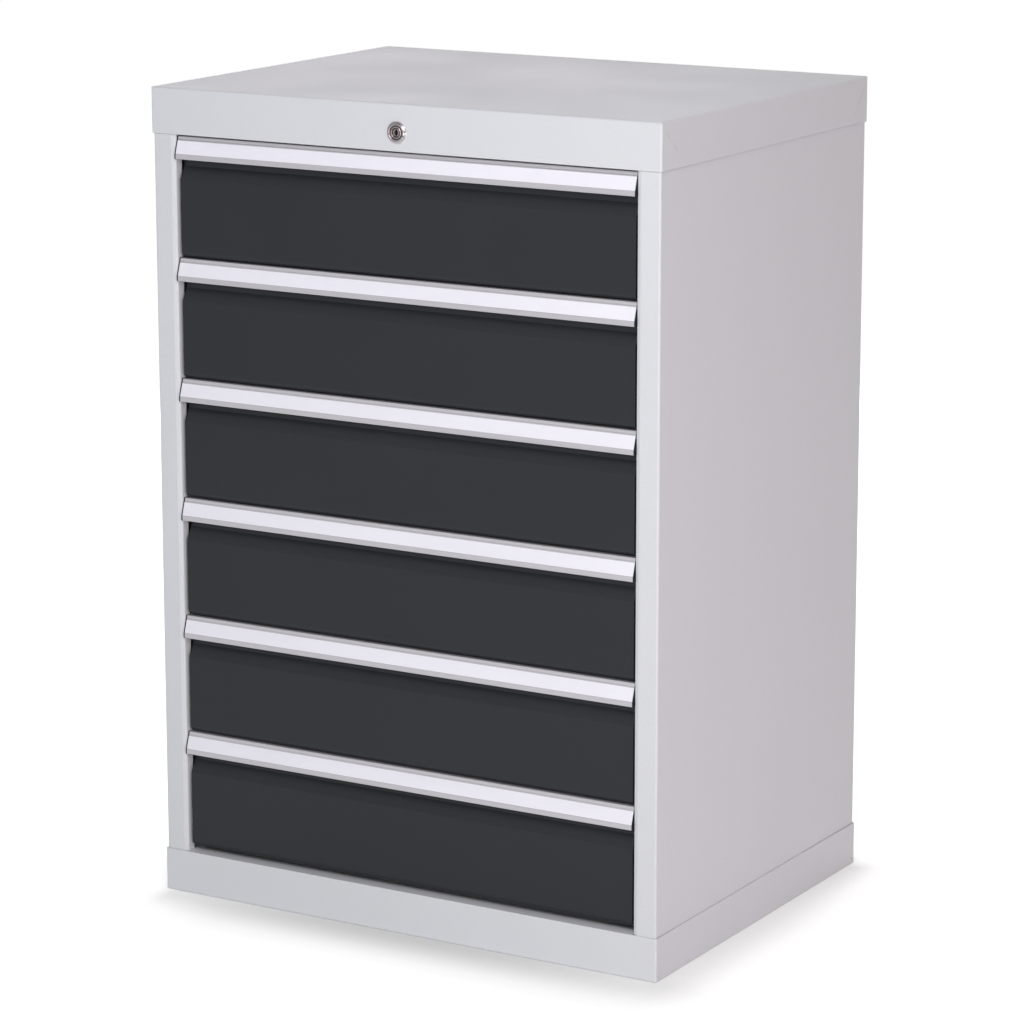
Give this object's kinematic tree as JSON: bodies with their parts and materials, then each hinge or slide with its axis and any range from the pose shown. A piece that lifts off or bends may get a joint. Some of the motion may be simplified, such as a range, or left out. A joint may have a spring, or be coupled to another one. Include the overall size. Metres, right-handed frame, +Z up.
{
  "type": "metal drawer cabinet",
  "caption": "Free-standing sheet-steel drawer cabinet with folded cover, plinth, central cylinder lock, and equal dark drawer fronts with full-width aluminium grip strips.",
  "frame": {"origin": "floor level under the centre of the cabinet", "axes": "+X to the right seen from the front, +Y to the back, +Z up; the drawers open along -Y"},
  "size_m": [0.705, 0.5392, 1.019],
  "materials": {
    "body_paint": "light grey fine-textured powder coat, semi-matt",
    "front_paint": "anthracite fine-textured powder coat, semi-matt",
    "grip_aluminium": "satin anodised, extruded",
    "label_strip": "blank white paper strip under clear plastic",
    "tray_paint": "grey powder coat, semi-matt",
    "zinc_plate": "bright zinc plating, slightly mottled",
    "lock_chrome": "polished nickel-chrome plating"
  },
  "bodies": {
    "root": {"side_panel_left": "body_paint", "side_panel_right": "body_paint", "rear_panel": "body_paint", "top_cover": "body_paint", "plinth": "body_paint", "floor_panel": "body_paint", "head_rail_front": "body_paint", "head_rail_rear": "body_paint", "post_front_left": "zinc_plate", "post_front_right": "zinc_plate", "post_rear_left": "zinc_plate", "post_rear_right": "zinc_plate", "cabinet_rails_left": "zinc_plate", "cabinet_rails_right": "zinc_plate", "rear_screws": "zinc_plate", "lock_housing": "lock_chrome", "lock_nut": "zinc_plate", "lock_bracket": "zinc_plate"},
    "lock": {"lock_core": "lock_chrome", "lock_shaft": "zinc_plate"},
    "locking_rod": {"lock_rod": "zinc_plate"},
    "drawer_1": {"drawer_1_tray": "tray_paint", "drawer_1_front": "front_paint", "drawer_1_grip": "grip_aluminium", "drawer_1_label": "label_strip", "drawer_1_rails": "zinc_plate"},
    "middle_rails_1": {"drawer_1_middle_rails": "zinc_plate"},
    "drawer_2": {"drawer_2_tray": "tray_paint", "drawer_2_front": "front_paint", "drawer_2_grip": "grip_aluminium", "drawer_2_label": "label_strip", "drawer_2_rails": "zinc_plate"},
    "middle_rails_2": {"drawer_2_middle_rails": "zinc_plate"},
    "drawer_3": {"drawer_3_tray": "tray_paint", "drawer_3_front": "front_paint", "drawer_3_grip": "grip_aluminium", "drawer_3_label": "label_strip", "drawer_3_rails": "zinc_plate"},
    "middle_rails_3": {"drawer_3_middle_rails": "zinc_plate"},
    "drawer_4": {"drawer_4_tray": "tray_paint", "drawer_4_front": "front_paint", "drawer_4_grip": "grip_aluminium", "drawer_4_label": "label_strip", "drawer_4_rails": "zinc_plate"},
    "middle_rails_4": {"drawer_4_middle_rails": "zinc_plate"},
    "drawer_5": {"drawer_5_tray": "tray_paint", "drawer_5_front": "front_paint", "drawer_5_grip": "grip_aluminium", "drawer_5_label": "label_strip", "drawer_5_rails": "zinc_plate"},
    "middle_rails_5": {"drawer_5_middle_rails": "zinc_plate"},
    "drawer_6": {"drawer_6_tray": "tray_paint", "drawer_6_front": "front_paint", "drawer_6_grip": "grip_aluminium", "drawer_6_label": "label_strip", "drawer_6_rails": "zinc_plate"},
    "middle_rails_6": {"drawer_6_middle_rails": "zinc_plate"}
  },
  "joints": [
    {"name": "lock_turn", "type": "hinge", "parent": "root", "child": "lock", "pos_m": [0, -0.268, 0.985], "axis": [0, 1, 0], "range_deg": [0, 90]},
    {"name": "rod_lift", "type": "slide", "parent": "root", "child": "locking_rod", "axis": [0, 0, 1], "range_m": [0, 0.0198]},
    {"name": "drawer_1_slide", "type": "slide", "parent": "root", "child": "drawer_1", "axis": [0, -1, 0], "range_m": [0, 0.4]},
    {"name": "middle_rails_1_slide", "type": "slide", "parent": "root", "child": "middle_rails_1", "axis": [0, -1, 0], "range_m": [0, 0.2]},
    {"name": "drawer_2_slide", "type": "slide", "parent": "root", "child": "drawer_2", "axis": [0, -1, 0], "range_m": [0, 0.4]},
    {"name": "middle_rails_2_slide", "type": "slide", "parent": "root", "child": "middle_rails_2", "axis": [0, -1, 0], "range_m": [0, 0.2]},
    {"name": "drawer_3_slide", "type": "slide", "parent": "root", "child": "drawer_3", "axis": [0, -1, 0], "range_m": [0, 0.4]},
    {"name": "middle_rails_3_slide", "type": "slide", "parent": "root", "child": "middle_rails_3", "axis": [0, -1, 0], "range_m": [0, 0.2]},
    {"name": "drawer_4_slide", "type": "slide", "parent": "root", "child": "drawer_4", "axis": [0, -1, 0], "range_m": [0, 0.4]},
    {"name": "middle_rails_4_slide", "type": "slide", "parent": "root", "child": "middle_rails_4", "axis": [0, -1, 0], "range_m": [0, 0.2]},
    {"name": "drawer_5_slide", "type": "slide", "parent": "root", "child": "drawer_5", "axis": [0, -1, 0], "range_m": [0, 0.4]},
    {"name": "middle_rails_5_slide", "type": "slide", "parent": "root", "child": "middle_rails_5", "axis": [0, -1, 0], "range_m": [0, 0.2]},
    {"name": "drawer_6_slide", "type": "slide", "parent": "root", "child": "drawer_6", "axis": [0, -1, 0], "range_m": [0, 0.4]},
    {"name": "middle_rails_6_slide", "type": "slide", "parent": "root", "child": "middle_rails_6", "axis": [0, -1, 0], "range_m": [0, 0.2]}
  ],
  "couplings": [
    {"joint": "lock_turn", "follows": "rod_lift", "rad_per_m": 79.33},
    {"joint": "middle_rails_1_slide", "follows": "drawer_1_slide", "ratio": 0.5},
    {"joint": "middle_rails_2_slide", "follows": "drawer_2_slide", "ratio": 0.5},
    {"joint": "middle_rails_3_slide", "follows": "drawer_3_slide", "ratio": 0.5},
    {"joint": "middle_rails_4_slide", "follows": "drawer_4_slide", "ratio": 0.5},
    {"joint": "middle_rails_5_slide", "follows": "drawer_5_slide", "ratio": 0.5},
    {"joint": "middle_rails_6_slide", "follows": "drawer_6_slide", "ratio": 0.5}
  ]
}
